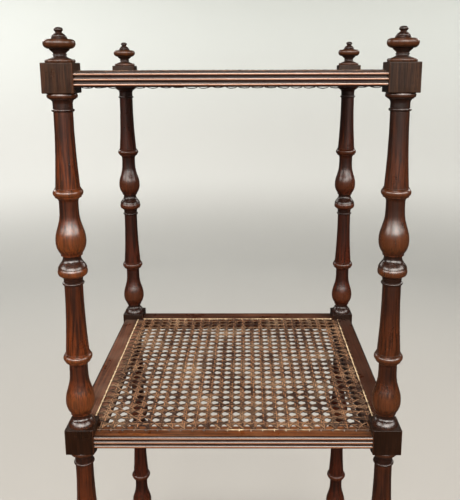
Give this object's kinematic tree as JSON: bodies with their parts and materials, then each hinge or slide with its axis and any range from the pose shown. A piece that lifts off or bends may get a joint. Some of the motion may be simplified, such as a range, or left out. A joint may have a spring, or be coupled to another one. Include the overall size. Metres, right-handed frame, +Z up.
{
  "type": "etagere",
  "caption": "Tall square open display stand with turned posts, reeded rails, woven cane shelves, small finials and turned feet.",
  "frame": {"origin": "on the floor under the middle of the square plan", "axes": "+Z up along the posts, front along -Y, +X to the right seen from the front"},
  "size_m": [0.4046, 0.4046, 1.016],
  "materials": {
    "post_mahogany": "dark red-brown mahogany, French polished, worn on the edges",
    "finial_mahogany": "dark red-brown mahogany, French polished",
    "foot_mahogany": "dark red-brown mahogany, French polished",
    "rail_mahogany": "dark red-brown mahogany, French polished, reeds rubbed lighter",
    "woven_cane": "old varnished split cane, brown and dull",
    "cane_binding": "paler, glossier split cane"
  },
  "bodies": {
    "root": {"back_left_finial": "finial_mahogany", "back_left_foot": "foot_mahogany", "back_left_post": "post_mahogany", "back_right_finial": "finial_mahogany", "back_right_foot": "foot_mahogany", "back_right_post": "post_mahogany", "bottom_back_cane_binding": "cane_binding", "bottom_back_rail": "rail_mahogany", "bottom_cane_sheet": "woven_cane", "bottom_front_cane_binding": "cane_binding", "bottom_front_rail": "rail_mahogany", "bottom_left_cane_binding": "cane_binding", "bottom_left_rail": "rail_mahogany", "bottom_right_cane_binding": "cane_binding", "bottom_right_rail": "rail_mahogany", "front_left_finial": "finial_mahogany", "front_left_foot": "foot_mahogany", "front_left_post": "post_mahogany", "front_right_finial": "finial_mahogany", "front_right_foot": "foot_mahogany", "front_right_post": "post_mahogany", "middle_back_cane_binding": "cane_binding", "middle_back_rail": "rail_mahogany", "middle_cane_sheet": "woven_cane", "middle_front_cane_binding": "cane_binding", "middle_front_rail": "rail_mahogany", "middle_left_cane_binding": "cane_binding", "middle_left_rail": "rail_mahogany", "middle_right_cane_binding": "cane_binding", "middle_right_rail": "rail_mahogany", "top_back_cane_binding": "cane_binding", "top_back_rail": "rail_mahogany", "top_cane_sheet": "woven_cane", "top_front_cane_binding": "cane_binding", "top_front_rail": "rail_mahogany", "top_left_cane_binding": "cane_binding", "top_left_rail": "rail_mahogany", "top_right_cane_binding": "cane_binding", "top_right_rail": "rail_mahogany"}
  },
  "joints": []
}
